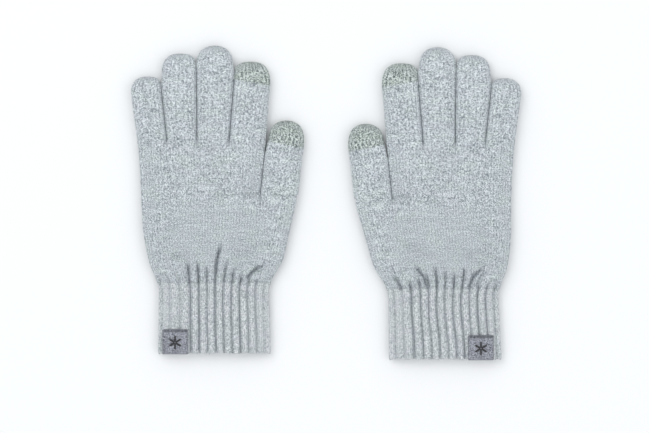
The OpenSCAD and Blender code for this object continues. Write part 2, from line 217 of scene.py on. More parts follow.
class Digit:
    """The edges and the dome of one finger or thumb."""

    def __init__(self, glove, names, root, low, high):
        self.root = root                     # local y of the root line
        boxes = [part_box(n) for n in names]
        self.tip = max(b[1].y for b in boxes) / MM - glove.y
        self.top = max(b[1].z for b in boxes) / MM
        width = 20.0
        for _ in range(4):                   # the dome starts where its own width says
            start = self.tip - DOME * width
            side = Outline(glove, names, start - 0.6, start - 0.1)
            width = side.right[1] - side.left[1]
        self.start, self.width = start, width
        self.low = [(root, low), (start, side.left[1])]
        self.high = [(root, high), (start, side.right[1])]
        self.low_power = self.high_power = DOME_POWER

    @staticmethod
    def edge(points, y):
        """x of an edge at y, from its (y, x) points."""
        return np.interp(y, [p[0] for p in points], [p[1] for p in points])

    def rows(self):
        """y, left, right, base height and thickness of every row, with PAD rows below."""
        count = int(round((self.start - self.root) / STEP))
        straight = np.linspace(self.root, self.start, count + 1)
        below = self.root - STEP * np.arange(PAD, 0, -1)
        q = np.sin(np.linspace(0, math.pi / 2, 400))
        half = oval(q, DOME_POWER) * self.width / 2
        rise = q * (self.tip - self.start)
        run = np.concatenate([[0], np.cumsum(np.hypot(np.diff(rise), np.diff(half)))])
        dome = np.interp(np.linspace(0, run[-1], int(round(run[-1] / STEP)) + 1)[1:-1], run, rise)
        y = np.concatenate([below, straight, self.start + dome])
        left, right = self.edge(self.low, y), self.edge(self.high, y)
        middle, half = (left + right) / 2, (right - left) / 2
        q = np.clip((y - self.start) / (self.tip - self.start), 0, 1)
        left = middle - half * oval(q, self.low_power)
        right = middle + half * oval(q, self.high_power)
        full = self.top * LOFT
        thick = full * (0.12 + 0.88 * oval(q, 2.4))
        return y, left, right, (full - thick) * 0.4, thick


def lean_together(low, high):
    """Lets two neighbouring fingers touch along one line, as far as the shorter one goes."""
    short, tall = (low, high) if low.start < high.start else (high, low)
    root_x = low.high[0][1]
    x = (low.edge(low.high, short.start) + high.edge(high.low, short.start)) / 2
    slope = (x - root_x) / (short.start - short.root)
    reach = min(short.start + 0.5 * (short.tip - short.start), tall.start)
    for digit in (low, high):
        side = -TOUCH if digit is low else TOUCH
        until = short.start if digit is short else reach
        points = [(digit.root, root_x + side), (until, root_x + slope * (until - digit.root) + side)]
        end = (digit.high if digit is low else digit.low)[1]
        if until < digit.start:
            points.append(end)
        if digit is low:
            digit.high = points
        else:
            digit.low = points
    if short is low:
        short.high_power = LEANING_POWER
    else:
        short.low_power = LEANING_POWER


# ---- cloth grids
def face_section(a, b, z0, t, u, over, inset=0.0, pins=(), hold=0.0):
    """x and z across one face of a flat tube, columns evenly spaced along the cloth.

    hold draws the columns at the fractions in pins towards the pins' own x.
    """
    q = -np.cos(np.linspace(0, math.pi, 49))
    a, b, z0, t = a + inset, b - inset, z0 + inset, t - 2 * inset
    height = oval(q)
    x = (a + b) / 2 + (b - a) / 2 * q
    z = z0 + t / 2 + t / 2 * height if over else z0 + t / 2 * np.maximum(0.0, 1 - UNDER_FLAT * height)
    run = np.concatenate([[0], np.cumsum(np.hypot(np.diff(x), np.diff(z)))])
    s = run / run[-1]
    if hold:
        spots = np.interp([p[1] for p in pins], x, s)
        pinned = np.interp(u, [0, *[p[0] for p in pins], 1], [0, *spots, 1])
        u = u * (1 - hold) + pinned * hold
    return np.interp(u, s, x), np.interp(u, s, z)


def ring(lobes, z0, t, columns, inset=0.0, pins=(), hold=0.0):
    """One closed ring. lobes are (first column, last column, left, right) in wales."""
    top, low = np.zeros((2, len(columns))), np.zeros((2, len(columns)))
    for first, last, a, b in lobes:
        here = (columns >= first - 1e-6) & (columns <= last + 1e-6)
        u = (columns[here] - first) / (last - first)
        spots = [((c - first) / (last - first), x) for c, x in pins]
        top[:, here] = face_section(a, b, z0, t, u, True, inset, spots, hold)
        low[:, here] = face_section(a, b, z0, t, u, False, inset, spots, hold)
    return np.concatenate([top, low[:, -2:0:-1]], axis=1)


def wrap(values):
    """A value per column of the top face, carried round the ring."""
    return np.concatenate([values, values[-2:0:-1]])


def unit(vectors):
    """The vectors at length 1."""
    return vectors / np.maximum(np.linalg.norm(vectors, axis=-1, keepdims=True), 1e-9)


def lift_normals(grid):
    """Outward unit normals of a grid of closed rings."""
    around = np.roll(grid, -1, axis=1) - np.roll(grid, 1, axis=1)
    return unit(np.cross(around, np.gradient(grid, axis=0)))


def knit(grid, columns, course, relief=1.0, tip=False):
    """Gives a smooth grid its stitches, and drops its PAD rows at either end."""
    rows = len(grid)
    w = wrap(columns) % 1.0
    legs = np.interp(w, [0, 0.25, 0.5, 0.75, 1], [0, 1, 0.45, 1, 0])
    phase = np.cos(2 * math.pi * (course - 1 / 3))
    push = relief * (WALE_RELIEF * (legs - 0.6)[None, :]
                     + COURSE_RELIEF * phase[:, None] * (0.4 + 0.6 * legs)[None, :])
    normal = lift_normals(grid)
    shift = V_RISE * ROWS_PER_COURSE * (np.abs(2 * w - 1) - 0.5)
    ease = np.minimum(1, np.arange(rows)[::-1] / 6.0) if tip else np.ones(rows)
    where = np.arange(rows)[:, None] + shift[None, :] * ease[:, None]
    where = np.clip(where, 0, rows - 1)
    low = np.minimum(where.astype(int), rows - 2)
    f = (where - low)[..., None]
    cols = np.arange(grid.shape[1])[None, :]
    moved = grid[low, cols] * (1 - f) + grid[low + 1, cols] * f
    out = moved + normal[low, cols] * push[..., None]
    return out[PAD:] if tip else out[PAD:rows - PAD]


# ---- mesh assembly
class Cloth:
    """Collects grids of rings into one mesh."""

    def __init__(self):
        self.points, self.stitch, self.hollow, self.faces = [], [], [], []
        self.count = 0

    def store(self, grid, stitch, hollow=None):
        """Adds a grid of points with its stitch numbers, and returns its vertex numbers."""
        rows, around = grid.shape[:2]
        self.points.append(grid.reshape(-1, 3))
        self.stitch.append(stitch.reshape(-1, 3))
        self.hollow.append(np.zeros(rows * around) if hollow is None else hollow.ravel())
        self.count += rows * around
        return np.arange(self.count - rows * around, self.count).reshape(rows, around)

    def add(self, grid, columns, course, hollow=None):
        """Adds a grid of closed rings, numbered by its wales and courses."""
        data = np.empty(grid.shape)
        data[..., 0] = wrap(columns)[None, :]
        data[..., 1] = np.asarray(course)[:, None]
        data[..., 2] = grid[..., 2] * 0.35       # tells the two faces' noise apart
        return self.store(grid, data, hollow)

    def point(self, position, stitch):
        """Adds one point and returns its vertex number."""
        self.points.append(np.array([position]))
        self.stitch.append(np.array([stitch]))
        self.hollow.append(np.zeros(1))
        self.count += 1
        return self.count - 1

    def skin(self, numbers, out=True):
        """Quads between neighbouring rings."""
        a, b = numbers[:-1], numbers[1:]
        quads = np.stack([a, np.roll(a, -1, 1), np.roll(b, -1, 1), b], -1).reshape(-1, 4)
        self.faces.append(quads if out else quads[:, ::-1])

    def fan(self, loop, centre, out=True):
        """Triangles from a ring to one point, the ring seen as the last row."""
        tris = np.stack([loop, np.roll(loop, -1), np.full(len(loop), centre),
                         np.full(len(loop), centre)], -1)
        self.faces.append(tris if out else tris[:, ::-1])

    def rim(self, outer, inner, first_row):
        """Joins a fine outer ring to a coarse inner one, whose columns are every n-th."""
        n = len(outer) // len(inner)
        for k in range(len(inner)):
            here, after = inner[k], inner[(k + 1) % len(inner)]
            part = outer[np.arange(k * n, (k + 1) * n + 1) % len(outer)]
            tris = [(part[i], part[i + 1], here, here) for i in range(n)]
            tris.append((part[n], after, here, here))
            tris = np.array(tris)
            self.faces.append(tris if not first_row else tris[:, ::-1])

    def build(self, name, glove, material):
        """The mesh object, with its corners welded and its unused points dropped."""
        local = np.concatenate(self.points)
        stitch = np.concatenate(self.stitch)
        faces = np.concatenate(self.faces)
        _, first, same = np.unique(np.round(local, 4), axis=0, return_index=True, return_inverse=True)
        faces = first[same.ravel()][faces]
        used, faces = np.unique(faces, return_inverse=True)
        faces = faces.reshape(-1, 4)
        world = glove.world(local[used])
        if glove.hand < 0:
            faces = faces[:, ::-1]
        polygons = []
        for face in faces.tolist():
            loop = [v for i, v in enumerate(face) if v != face[i - 1]]
            if len(set(loop)) == len(loop) and len(loop) > 2:
                polygons.append(loop)
        mesh = bpy.data.meshes.new(name)
        mesh.from_pydata(world.tolist(), [], polygons)
        layer = mesh.attributes.new("stitch", "FLOAT_VECTOR", "POINT")
        layer.data.foreach_set("vector", stitch[used].astype(np.float32).ravel())
        # darkness kept per point: painted shade in the rib furrows, the creases and the label's rounded
        # edges, and the darker thumb join and label top band
        layer = mesh.attributes.new("hollow", "FLOAT", "POINT")
        layer.data.foreach_set("value", np.concatenate(self.hollow)[used].astype(np.float32))
        mesh.polygons.foreach_set("use_smooth", [True] * len(mesh.polygons))
        mesh.update()
        obj = bpy.data.objects.new(name, mesh)
        bpy.context.scene.collection.objects.link(obj)
        obj.data.materials.append(material)
        return obj


# ---- gloves
class Glove:
    """One glove: where it lies, its outlines and its own folds."""

    def __init__(self, side, hand):
        self.side, self.hand = side, hand
        joints = {j["name"]: j for j in frame["joints"]}
        wrist = joints[side + "_wrist_bend"]["pos_m"]
        self.x, self.y = wrist[0] / MM, wrist[1] / MM
        self.root = joints[side + "_middle_bend"]["pos_m"][1] / MM - self.y
        self.thumb_root = joints[side + "_thumb_bend"]["pos_m"][1] / MM - self.y
        self.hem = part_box(side + "_cuff_hem")[0].y / MM - self.y
        cuff = Outline(self, [side + "_cuff"], self.hem + 2.6, -4.5)
        palm = Outline(self, [side + "_palm_lower"], 4.6, self.thumb_root - 4.5)
        self.body = Outline.joined([cuff, palm], 2.2)
        low, high, _ = self.body.at(0)
        self.wrist_middle, self.wrist_half = (low + high) / 2, (high - low) / 2
        self.upper = Outline(self, [side + "_palm_upper"], self.thumb_root + 0.5,
                             self.root - 5, sigma=2.2)
        self.thickness = self.upper.top.max() * LOFT
        self.place_fingers()
        self.place_thumb()

    def place_fingers(self):
        """Shares the finger line out between the four fingers."""
        names = ("little", "ring", "middle", "index")
        bases = [Outline(self, [f"{self.side}_{n}_finger"], self.root + 1.5, self.root + 2.5)
                 for n in names]
        inner = [(a.right[0] + b.left[0]) / 2 for a, b in zip(bases, bases[1:])]
        self.cuts = [bases[0].left[0], *inner, bases[-1].right[0]]
        self.digits = {}
        for n, low, high in zip(names, self.cuts, self.cuts[1:]):
            nodes = [f"{self.side}_{n}_finger"]
            nodes += [f"{self.side}_index_touch_tip"] if n == "index" else []
            self.digits[n] = Digit(self, nodes, self.root, low, high)
        for low, high in zip(names, names[1:]):
            lean_together(self.digits[low], self.digits[high])

    def place_thumb(self):
        """Lays the thumb against the palm's edge."""
        nodes = [self.side + "_thumb", self.side + "_thumb_touch_tip"]
        base = Outline(self, nodes[:1], self.thumb_root + 1.5, self.thumb_root + 2.5)
        edge = self.upper.at(self.thumb_root + 2)[1]
        self.crotch = (edge + base.left[0]) / 2
        thumb = Digit(self, nodes, self.thumb_root, self.crotch + TOUCH, base.right[0])
        y = self.thumb_root + THUMB_TOUCHES
        x = (self.upper.at(y)[1] + thumb.edge(thumb.low, y)) / 2 - 0.6
        thumb.low = [thumb.low[0], (y, x + TOUCH), thumb.low[1]]
        self.palm_edge = [(self.thumb_root, self.crotch - TOUCH), (y, x - TOUCH),
                          (self.root, self.cuts[-1])]
        self.digits["thumb"] = thumb

    def world(self, local):
        """Local millimetres to the frame's metres."""
        out = np.array(local, float)
        out[..., 0] = out[..., 0] * self.hand + self.x
        out[..., 1] = out[..., 1] + self.y
        return out * MM

    def ribs(self, x, y):
        """Depth of the ribbing at x, y, and how much painted shade its furrows get."""
        lie = RIBS[self.side]
        low, high, _ = self.body.at(np.clip(y, -60, self.thumb_root))
        across = (x - (low + high) / 2) * self.wrist_half / ((high - low) / 2)
        inside = np.clip(1 - (across / self.wrist_half) ** 2, 0, 1)
        sway = lie["sway"] * np.cos(2 * math.pi * (y + SWAY_TOP) / SWAY_LENGTH) * inside
        phase = (across + sway - lie["start"]) / RIB_PITCH
        start, over, amount = lie["wide"]
        phase = phase + amount * smooth((across - start) / over)
        phase = phase + 0.035 * wave(phase * 1.3, y * 0.16, self.hand * 1.7)
        number = np.round(phase)
        p = np.abs(phase - number)
        near, far = lie["plump"]
        plump = 0.42 + 0.58 * smooth((across - near) / 10) * smooth((far - across) / 10)
        plump = plump * (1 + 0.15 * np.sin(number * 2.4 + self.hand))
        top = 7 + 10 * (1 - smooth((np.abs(across + 3) - 14) / 13)) + 2.0 * np.sin(number * 1.9)
        fade = plump * (1 - smooth((y - top + 8) / 8))
        arch = np.sqrt(np.clip(1 - (1 - 2 * p) ** 2, 0, 1))
        # painted shade down each furrow, darkest at its middle, standing in for the shadow there
        furrow = np.exp(-(p / FURROW) ** 2)
        return RIB_DEPTH * fade * (1 - arch), fade * furrow

    def body_ring(self, y, columns, inset=0.0):
        """One ring of the cuff or the lower palm."""
        a, b, top = self.body.at(min(y, self.thumb_root))
        pins = [(UPPER_WALES, self.crotch * (b - a) / (self.body.right[-1] - self.body.left[-1]))]
        hold = float(smooth((y - self.thumb_root + 30) / 28))
        whole = ring([(0, PALM_WALES, a, b)], 0, top * LOFT, columns, inset, pins, hold)
        f = smooth((y - (self.thumb_root - 10)) / 10) ** 2
        if f > 0:
            lobes = [(0, UPPER_WALES, a, self.crotch), (UPPER_WALES, PALM_WALES, self.crotch, b)]
            pair = ring(lobes, 0, self.thickness, columns, inset)
            whole = whole * (1 - f) + pair * f
        return whole

    def upper_ring(self, y, columns, inset=0.0):
        """One ring of the upper palm."""
        y = min(max(y, self.thumb_root), self.root)
        a = self.upper.at(y)[0]
        b = Digit.edge(self.palm_edge, y)
        near = smooth((y - (self.root - 5)) / 5)
        a = a * (1 - near) + self.cuts[0] * near
        pins = list(zip(FINGER_CUTS[1:-1], self.cuts[1:-1]))
        hold = float(smooth((y - self.thumb_root - 4) / (self.root - self.thumb_root - 6)))
        whole = ring([(0, UPPER_WALES, a, b)], 0, self.thickness, columns, inset, pins, hold)
        f = smooth((y - (self.root - 8)) / 8) ** 2
        if f > 0:
            lobes = [(FINGER_CUTS[i], FINGER_CUTS[i + 1], self.cuts[i], self.cuts[i + 1])
                     for i in range(4)]
            four = ring(lobes, 0, self.thickness, columns, inset)
            whole = whole * (1 - f) + four * f
        return whole

    def height(self, x, y):
        """Height of the smooth upper face at a point of the cuff or the palm."""
        columns = columns_of(0, UPPER_WALES if y > self.thumb_root else PALM_WALES)
        rings = self.upper_ring if y > self.thumb_root else self.body_ring
        section = rings(y, columns)[:, :len(columns)]
        return float(np.interp(x, section[0], section[1]))


def stack(section, ys, columns, inset=0.0):
    """The rings of a section function at ys, as a grid of points; inset may differ by row."""
    grid = np.empty((len(ys), 2 * len(columns) - 2, 3))
    inset = np.broadcast_to(inset, len(ys))
    for i, y in enumerate(ys):
        grid[i, :, 0], grid[i, :, 2] = section(y, columns, inset[i])
        grid[i, :, 1] = y
    return grid


def columns_of(first, last, per=COLS_PER_WALE):
    """Column places in wales, both ends included."""
    return np.linspace(first, last, (last - first) * per + 1)


def inner_rows(count, every=LINING_EVERY):
    """Every n-th row number, and always the last."""
    return list(range(0, count - 1, every)) + [count - 1]


def levels(low, high):
    """Row heights between two lines, with the PAD rows past both."""
    count = int(round((high - low) / STEP))
    step = (high - low) / count
    return low + step * np.arange(-PAD, count + PAD + 1)


def from_path(x, y, path):
    """Distance from a path, and how far along it the nearest point is, 0 to 1."""
    path = np.array(path, float)
    lengths = np.hypot(*np.diff(path, axis=0).T)
    best, along, done = np.full(x.shape, 1e9), np.zeros(x.shape), 0.0
    for (ax, ay), (bx, by), length in zip(path, path[1:], lengths):
        t = ((x - ax) * (bx - ax) + (y - ay) * (by - ay)) / length ** 2
        t = np.clip(t, 0, 1)
        d = np.hypot(x - ax - t * (bx - ax), y - ay - t * (by - ay))
        along = np.where(d < best, done + t * length, along)
        best = np.minimum(best, d)
        done += length
    return best, along / done


def dress(glove, grid):
    """Presses the ribs and the creases into a smooth grid; also gives the painted shade in their furrows
    and creases.
    """
    normal = lift_normals(grid)
    x, y = grid[..., 0], grid[..., 1]
    push, hollow = glove.ribs(x, y)
    upper = smooth(normal[..., 2] * 2)
    for path, depth, width in FOLDS[glove.side]:
        away, along = from_path(x, y, path)
        run = smooth(along / 0.2) * (1 - smooth((along - 0.65) / 0.35)) * upper
        mark = np.exp(-(away / width) ** 2) * run
        lip = np.exp(-((away - 2.3 * width) / width) ** 2) * run
        push = np.maximum(push, depth * mark) - 0.3 * depth * lip
        # painted shade along each crease, as a deep crease would be shadowed
        hollow = np.maximum(hollow, mark * min(1, depth * 0.45))
    return grid - normal * push[..., None], hollow


def share_ring(wide, narrow):
    """Starts a narrower grid with the points of a wider grid's last ring."""
    n, m = wide.shape[1] // 2, narrow.shape[1] // 2
    narrow[0, :m + 1] = wide[-1, :m + 1]
    narrow[0, m + 1:] = wide[-1, [2 * n - j for j in range(m - 1, 0, -1)]]


def make_palm(glove):
    """The palm in one skin, as the thumb's mouth and the fingers' share their stitches."""
    cloth = Cloth()
    # outside: the lower palm's rings, then the upper palm's on those left of the thumb
    ys, cols = levels(0, glove.thumb_root), columns_of(0, PALM_WALES)
    ys2, cols2 = levels(glove.thumb_root, glove.root), columns_of(0, UPPER_WALES)
    grid, hollow = dress(glove, stack(glove.body_ring, ys, cols))
    course = np.arange(-PAD, len(ys) - PAD) / ROWS_PER_COURSE
    course2 = course[-1 - PAD] + np.arange(-PAD, len(ys2) - PAD) / ROWS_PER_COURSE
    body = slice(PAD, -PAD)
    a = cloth.add(knit(grid, cols, course), cols, course[body], hollow[body])
    upper = stack(glove.upper_ring, ys2, cols2)
    b = cloth.add(knit(upper, cols2, course2), cols2, course2[body], join_line(glove, upper)[body])
    n, m = len(cols) - 1, len(cols2) - 1
    a[-1, 2 * n - m] = a[-1, m]              # the crotch is one point, top and bottom
    share_ring(a, b)
    cloth.skin(a)
    cloth.skin(b)
    # lining: the same rings, inset below the furrows, with fewer columns and rows
    few, few2 = columns_of(0, PALM_WALES, 1), columns_of(0, UPPER_WALES, 1)
    ys, ys2 = (line[body][inner_rows(len(line) - 2 * PAD)] for line in (ys, ys2))
    thick = FABRIC + (CUFF_FABRIC - FABRIC) * (1 - smooth((ys - 28) / 12))
    c = cloth.add(stack(glove.body_ring, ys, few, thick), few, ys / COURSE)
    d = cloth.add(stack(glove.upper_ring, ys2, few2, FABRIC), few2, ys2 / COURSE)
    n1, m1 = len(few) - 1, len(few2) - 1
    share_ring(c, d)
    cloth.skin(c, out=False)
    cloth.skin(d, out=False)
    # rims at the wrist, at the fingers' mouths and at the thumb's
    cloth.rim(a[0], c[0], True)
    cloth.rim(b[-1], d[-1], False)
    cloth.rim(a[-1, m:2 * n - m], c[-1, m1:2 * n1 - m1], False)
    obj = cloth.build(glove.side + "_palm_cloth", glove, MATERIALS["knit"])
    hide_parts(glove.side + "_palm_lower", glove.side + "_palm_upper")
    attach(obj, glove.side + "_palm")


def join_line(glove, grid):
    """Darkness of the join that runs in from the thumb's crotch, stitch by stitch."""
    x, y = grid[..., 0], grid[..., 1]
    away = (glove.crotch - x) / 22
    run = smooth(away * 12) * (1 - smooth((away - 0.55) / 0.45)) * (grid[..., 2] > 6)
    dots = 0.55 + 0.45 * np.cos(2 * math.pi * (glove.crotch - x) / 2.6)
    return 0.75 * run * dots * np.exp(-((y - glove.thumb_root - 1.2) / 0.9) ** 2)


def make_cuff(glove):
    """The ribbed cuff; gives back its lowest ring, for the hem."""
    ys, cols = levels(glove.hem + 0.8, 0), columns_of(0, PALM_WALES)
    grid, hollow = dress(glove, stack(glove.body_ring, ys, cols))
    course = (np.arange(len(ys)) - len(ys) + 1 + PAD) / ROWS_PER_COURSE
    body = slice(PAD, -PAD)
    cloth = Cloth()
    full = knit(grid, cols, course)
    a = cloth.add(full, cols, course[body], hollow[body])
    cloth.skin(a)
    few = columns_of(0, PALM_WALES, 1)
    ys = ys[body][inner_rows(len(ys) - 2 * PAD, 8)]
    c = cloth.add(stack(glove.body_ring, ys, few, CUFF_FABRIC), few, ys / COURSE)
    cloth.skin(c, out=False)
    cloth.rim(a[0], c[0], True)
    cloth.rim(a[-1], c[-1], False)
    obj = cloth.build(glove.side + "_cuff_cloth", glove, MATERIALS["rib"])
    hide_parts(glove.side + "_cuff")
    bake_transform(obj)
    return full[0]


def make_hem(glove, outer):
    """The cast-off edge: a chain of small loops along the cuff's lowest ring."""
    normal = lift_normals(np.stack([outer, outer + [0, 1, 0]]))[0]
    sunk, radius, sides = 0.9, 0.95, 8
    centre = outer - normal * sunk
    beat = np.arange(len(outer)) / COLS_PER_WALE
    uneven = 0.25 * np.sin(beat * 0.53 + glove.hand) + 0.2 * np.sin(beat * 1.27 + 2)
    grid = np.empty((sides + 1, len(outer), 3))
    for k in range(sides + 1):
        angle = math.pi * 2 * k / sides
        swell = 1.0 + 0.16 * np.cos(2 * math.pi * beat + math.sin(angle))
        out, down = radius * math.cos(angle) * swell, math.sin(angle) * swell
        grid[k] = centre + normal * out[:, None]
        grid[k, :, 1] = outer[:, 1] + 0.35 - down - uneven * (down > 0)
    grid[..., 2] = np.maximum(grid[..., 2], 0.0)
    cloth = Cloth()
    numbers = cloth.add(grid, columns_of(0, PALM_WALES), np.arange(sides + 1) / 3.0)
    cloth.skin(numbers, out=False)
    obj = cloth.build(glove.side + "_hem_edge", glove, MATERIALS["rib"])
    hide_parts(glove.side + "_cuff_hem")
    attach(obj, glove.side + "_cuff")


def make_digit(glove, name, first, last):
    """A finger or thumb, in two pieces where it has a conductive cap."""
    side, digit, across = glove.side, glove.digits[name], last - first
    y, left, right, z0, thick = digit.rows()
    cols, few = columns_of(0, across), columns_of(0, across, 1)

    def rings(columns, lining):
        grid = np.empty((len(y), 2 * len(columns) - 2, 3))
        for i in range(len(y)):
            inset = min(FABRIC, (right[i] - left[i]) * 0.25, thick[i] * 0.3) * lining
            lobes = [(0, across, left[i], right[i])]
            grid[i, :, 0], grid[i, :, 2] = ring(lobes, z0[i], thick[i], columns, inset)
            grid[i, :, 1] = y[i]
        return grid

    grid, inside = rings(cols, 0), rings(few, 1)
    cap, split = f"{side}_{name}_touch_tip", len(y)
    if cap in frame["nodes"]:
        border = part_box(cap)[0].y / MM - glove.y + 0.3
        split = int(np.argmin(np.abs(y - border)))
        middle, width = (right[split] + left[split]) / 2, (right[split] - left[split]) / 2
        for g in (grid, inside):
            tilt = CAP_SLANTS[name] * (g[..., 0] - middle) / width
            g[..., 1] += tilt * np.exp(-((g[..., 1] - border) / 7.0) ** 2)
    # courses are numbered on from the palm's, so that the yarn runs through
    course = (np.arange(len(y)) - PAD) / ROWS_PER_COURSE + round(digit.root / COURSE)
    whole = knit(grid, cols, course, tip=True)
    course, inside, split = course[PAD:], inside[PAD:], split - PAD
    numbered, few = cols + first, few + first

    def shell(lo, hi, label, material, closed):
        """Rows lo to hi as one piece, closed with a tip or open at both ends."""
        cloth = Cloth()
        a = cloth.add(whole[lo:hi + 1], numbered, course[lo:hi + 1])
        cloth.skin(a)
        rows = [lo + r for r in inner_rows(hi - lo + 1)]
        c = cloth.add(inside[rows], few, course[rows])
        cloth.skin(c, out=False)
        cloth.rim(a[0], c[0], True)
        if closed:
            tip = whole[hi].mean(axis=0)
            tip[1] = digit.tip
            cloth.fan(a[-1], cloth.point(tip, (first + across / 2, course[hi] + 0.4, tip[2] * 0.35)))
            tip = tip - [0, FABRIC, 0]
            cloth.fan(c[-1], cloth.point(tip, (first, course[hi], 0)), out=False)
        else:
            cloth.rim(a[-1], c[-1], False)
        return cloth.build(label, glove, material)

    node = side + "_thumb" if name == "thumb" else f"{side}_{name}_finger"
    end_row = len(whole) - 1
    capped = split < end_row
    tube = shell(0, split if capped else end_row, f"{side}_{name}_cloth", MATERIALS["knit"],
                 not capped)
    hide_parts(node)
    if capped:
        tip = shell(split, end_row, cap + "_cloth", MATERIALS["touch"], True)
        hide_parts(cap)
        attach(tip, f"{side}_{name}")
    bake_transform(tube)


# ---- label and hand stitches
def make_threads(glove, name, strands, radius, material, body):
    """Short lengths of thread, each a rounded tube along its points."""
    cloth = Cloth()
    sides = 8
    for strand in strands:
        points = np.array(strand, float)
        ahead = unit(np.gradient(points, axis=0))
        side_way = unit(np.cross(ahead, [0, 0, 1]))
        up = np.cross(side_way, ahead)
        taper = np.sqrt(np.clip(1 - np.linspace(-1, 1, len(points)) ** 6, 0.12, 1))
        angle = np.linspace(0, 2 * math.pi, sides, endpoint=False)
        grid = (points[:, None] + radius * taper[:, None, None]
                * (side_way[:, None] * np.cos(angle)[None, :, None]
                   + up[:, None] * np.sin(angle)[None, :, None]))
        numbers = cloth.store(grid, grid)
        cloth.skin(numbers, out=False)
        cloth.fan(numbers[0], cloth.point(points[0], (0, 0, 0)))
        cloth.fan(numbers[-1], cloth.point(points[-1], (0, 0, 0)), out=False)
    obj = cloth.build(f"{glove.side}_{name}", glove, MATERIALS[material])
    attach(obj, f"{glove.side}_{body}")
    return obj


def label_surface(glove):
    """Size of the label in the glove's own mm, and the height of its outer face."""
    low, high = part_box(glove.side + "_label")
    xs = sorted(((v / MM) - glove.x) * glove.hand for v in (low.x, high.x))
    y0, y1 = low.y / MM - glove.y, high.y / MM - glove.y

    def height(x):
        ripple = 0.10 * math.cos(2 * math.pi * (x - RIBS[glove.side]["start"]) / RIB_PITCH)
        return glove.height(x, glove.hem + 6) + 0.75 - ripple
    return xs, y0, y1, height


def make_label(glove):
    """A woven patch folded round the hem: outside, round the edge, and up inside."""
    (x0, x1), y0, y1, height = label_surface(glove)
    cloth = Cloth()
    rings = []
    for f in np.linspace(0, 1, 33):
        x = x0 + (x1 - x0) * f
        edge = min(f, 1 - f) * (x1 - x0)
        full = math.sin(min(1, edge / PATCH_CORNER) * math.pi / 2)
        t = PATCH * (0.55 + 0.45 * full)
        pull = PATCH_CORNER * 0.5 * (1 - full)
        top = height(x)
        drop = (CUFF_FABRIC + 0.9) / 2
        turn = y0 + PATCH + drop
        line = [(y1 - pull - (y1 - pull - turn) * i / 30, top) for i in range(30)]
        line += [(turn - drop * math.sin(a), top - drop + drop * math.cos(a))
                 for a in np.linspace(0, math.pi, 9)]
        line += [(turn + PATCH_INSIDE * i / 6, top - 2 * drop) for i in range(1, 7)]
        line = np.array(line)
        ahead = unit(np.gradient(line, axis=0))
        out = np.stack([ahead[:, 1], -ahead[:, 0]], 1) * -1
        loop = np.concatenate([line + out * t / 2, (line - out * t / 2)[::-1]])
        rings.append(np.stack([np.full(len(loop), x), loop[:, 0], loop[:, 1]], 1))
    grid = np.array(rings)
    away = np.minimum(grid[..., 0] - x0, x1 - grid[..., 0])
    band = 1 - smooth((y1 - grid[..., 1] - 1.6) / 1.2)       # turned under and sewn at the top
    # darker along the turned-under top band, and painted shade over the rounded side edges
    hollow = np.maximum(0.75 * band, 0.8 * (1 - smooth(away / 0.9)))
    numbers = cloth.store(grid, grid, hollow)
    cloth.skin(numbers, out=False)
    for row, out in ((0, True), (-1, False)):
        strip = numbers[row]
        half = len(strip) // 2
        quads = [(strip[i], strip[i + 1], strip[-2 - i], strip[-1 - i]) for i in range(half - 1)]
        cloth.faces.append(np.array(quads)[:, ::-1] if out else np.array(quads))
    obj = cloth.build(glove.side + "_label_patch", glove, MATERIALS["label"])
    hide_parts(glove.side + "_label")
    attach(obj, glove.side + "_cuff")


def make_label_trim(glove):
    """The embroidered star and the row of stitches along the label's top."""
    (x0, x1), _, y1, height = label_surface(glove)
    low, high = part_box(glove.side + "_label_emblem")
    cx = ((low.x + high.x) / 2 / MM - glove.x) * glove.hand
    cy = (low.y + high.y) / 2 / MM - glove.y
    reach = (high.y - low.y) / 2 / MM
    strands = []
    for arm in range(3):
        angle = math.radians(30 + 60 * arm)
        c, s = math.cos(angle), math.sin(angle)
        for side_step in (-0.42, 0, 0.42):
            for half in (-1, 1):
                ends = []
                for t in np.linspace(0.06, 1.0 - 0.1 * abs(side_step), 7):
                    x = cx + half * t * reach * c - side_step * s
                    y = cy + half * t * reach * s + side_step * c
                    ends.append((x, y, height(x) + 0.42 + 0.22 * math.sin(math.pi * t)))
                strands.append(ends)
    star = make_threads(glove, "label_star", strands, STAR_THREAD, "thread", "cuff")
    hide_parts(glove.side + "_label_emblem")
    strands = []
    for i in range(7):
        middle = (x0 + x1) / 2 + (i - 3) * (x1 - x0) / 7.6
        strands.append([(middle + d, y1 - 1.3 + 0.12 * math.sin(i * 2.1), height(middle + d) + 0.36
                         + 0.3 * math.cos(d * math.pi / 1.9)) for d in np.linspace(-0.85, 0.85, 7)])
    row = make_threads(glove, "label_row", strands, ROW_THREAD, "thread", "cuff")
    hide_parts(glove.side + "_label_stitches")


def yarn_loop(glove, x, base, wiggle, rise, span):
    """Points of one loop of yarn that crosses the join at x."""
    return [(x + wiggle * math.sin(d * 3), base + d, glove.height(x, base + d) - 0.05
             + rise * math.cos(d * math.pi / span)) for d in np.linspace(-1.2, 1.2, 9)]


def make_join_stitches(glove):
    """Yarn loops across the join beside the thumb and at each finger crotch."""
    first, apart, count = 3.4, 2.6, 5
    strands = [yarn_loop(glove, glove.crotch - first - i * apart, glove.thumb_root + 0.6,
                         0.25, 0.35, 2.6) for i in range(count)]
    strands += [yarn_loop(glove, cut, glove.root - 3.4, 0.2, 0.3, 2.8) for cut in glove.cuts[1:-1]]
    obj = make_threads(glove, "join_yarn", strands, JOIN_YARN, "yarn", "palm")
    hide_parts(glove.side + "_join_stitches")


# ---- materials
def srgb(r, g, b):
    """8-bit screen colour to a linear colour."""
    def one(v):
        v /= 255
        return v / 12.92 if v <= 0.04045 else ((v + 0.055) / 1.055) ** 2.4
    return (one(r), one(g), one(b), 1)


